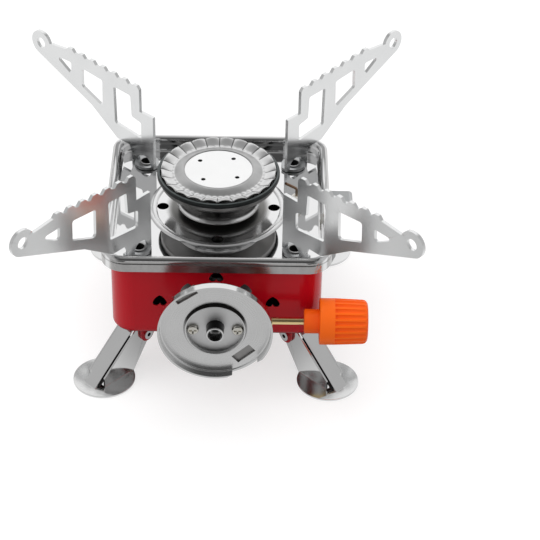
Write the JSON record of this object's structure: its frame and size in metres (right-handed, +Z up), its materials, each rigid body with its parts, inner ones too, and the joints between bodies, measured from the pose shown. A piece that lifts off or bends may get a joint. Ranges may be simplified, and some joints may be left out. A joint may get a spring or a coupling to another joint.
{
  "type": "portable gas stove",
  "caption": "Square folding camp stove with a drip tray, round burner, swing-out toothed pot supports, fold-out legs, ribbed control knob and a dish for a gas cartridge.",
  "frame": {"origin": "on the floor under the burner's axis", "axes": "+Z up; the cartridge dish faces -Y; the control knob is on the +X side"},
  "size_m": [0.1646, 0.1655, 0.099],
  "materials": {
    "red_enamel": "gloss enamel",
    "polished_steel": "polished stainless",
    "satin_steel": "satin",
    "blackened_steel": "heat blackened",
    "plated_screws": "zinc plated",
    "brass": "machined",
    "orange_plastic": "moulded, slightly glossy",
    "black_rubber": "matt",
    "black_plastic": "matt",
    "white_ceramic": "glazed ceramic"
  },
  "bodies": {
    "stove": {"body_shell": "red_enamel", "burner_base": "polished_steel", "burner_cap": "satin_steel", "burner_cup": "polished_steel", "burner_locknut": "satin_steel", "burner_ring": "blackened_steel", "connector_dish": "polished_steel", "dish_screws": "plated_screws", "drip_tray": "polished_steel", "electrode": "satin_steel", "electrode_insulator": "white_ceramic", "flame_ring": "satin_steel", "gas_jet": "brass", "ignition_wire": "black_rubber", "leg_rivets": "polished_steel", "mixing_tube": "satin_steel", "nozzle_hub": "polished_steel", "nozzle_seal": "black_rubber", "packing_nut": "brass", "packing_ring": "black_rubber", "piezo_bracket": "satin_steel", "piezo_screws": "plated_screws", "piezo_unit": "black_plastic", "pivot_rivets": "polished_steel", "pivot_washers": "satin_steel", "valve_body": "satin_steel", "valve_screws": "plated_screws"},
    "support_front_right": {"support_front_right": "polished_steel"},
    "support_back_right": {"support_back_right": "polished_steel"},
    "support_back_left": {"support_back_left": "polished_steel"},
    "support_front_left": {"support_front_left": "polished_steel"},
    "leg_front_right": {"leg_front_right": "polished_steel"},
    "leg_back_right": {"leg_back_right": "polished_steel"},
    "leg_back_left": {"leg_back_left": "polished_steel"},
    "leg_front_left": {"leg_front_left": "polished_steel"},
    "valve_needle": {"needle": "brass"},
    "knob_and_spindle": {"spindle": "brass", "control_knob": "orange_plastic"},
    "igniter_lever": {"piezo_lever": "satin_steel"}
  },
  "joints": [
    {"name": "support_front_right_turn", "type": "hinge", "parent": "stove", "child": "support_front_right", "pos_m": [0.032, -0.032, 0.0569], "axis": [0, 0, -1], "range_deg": [0, 124]},
    {"name": "support_back_right_turn", "type": "hinge", "parent": "stove", "child": "support_back_right", "pos_m": [0.032, 0.032, 0.0569], "axis": [0, 0, -1], "range_deg": [0, 124]},
    {"name": "support_back_left_turn", "type": "hinge", "parent": "stove", "child": "support_back_left", "pos_m": [-0.032, 0.032, 0.0569], "axis": [0, 0, -1], "range_deg": [0, 124]},
    {"name": "support_front_left_turn", "type": "hinge", "parent": "stove", "child": "support_front_left", "pos_m": [-0.032, -0.032, 0.0569], "axis": [0, 0, -1], "range_deg": [0, 124]},
    {"name": "leg_front_right_fold", "type": "hinge", "parent": "stove", "child": "leg_front_right", "pos_m": [0.03323, -0.03323, 0.0168], "axis": [0.7071, 0.7071, 0], "range_deg": [0, 120]},
    {"name": "leg_back_right_fold", "type": "hinge", "parent": "stove", "child": "leg_back_right", "pos_m": [0.03323, 0.03323, 0.0168], "axis": [-0.7071, 0.7071, 0], "range_deg": [0, 120]},
    {"name": "leg_back_left_fold", "type": "hinge", "parent": "stove", "child": "leg_back_left", "pos_m": [-0.03323, 0.03323, 0.0168], "axis": [-0.7071, -0.7071, 0], "range_deg": [0, 120]},
    {"name": "leg_front_left_fold", "type": "hinge", "parent": "stove", "child": "leg_front_left", "pos_m": [-0.03323, -0.03323, 0.0168], "axis": [0.7071, -0.7071, 0], "range_deg": [0, 120]},
    {"name": "needle_travel", "type": "slide", "parent": "stove", "child": "valve_needle", "axis": [1, 0, 0], "range_m": [0, 0.00101]},
    {"name": "knob_turn", "type": "hinge", "parent": "valve_needle", "child": "knob_and_spindle", "pos_m": [0.05, -0.0515, 0.0355], "axis": [1, 0, 0], "range_deg": [0, 450]},
    {"name": "igniter_press", "type": "slide", "parent": "stove", "child": "igniter_lever", "axis": [0, 0, -1], "range_m": [0, 0.006], "stiffness_N_per_m": 500, "springref_m": -0.003}
  ],
  "couplings": [
    {"joint": "needle_travel", "follows": "knob_turn", "m_per_rad": 0.00012732}
  ]
}
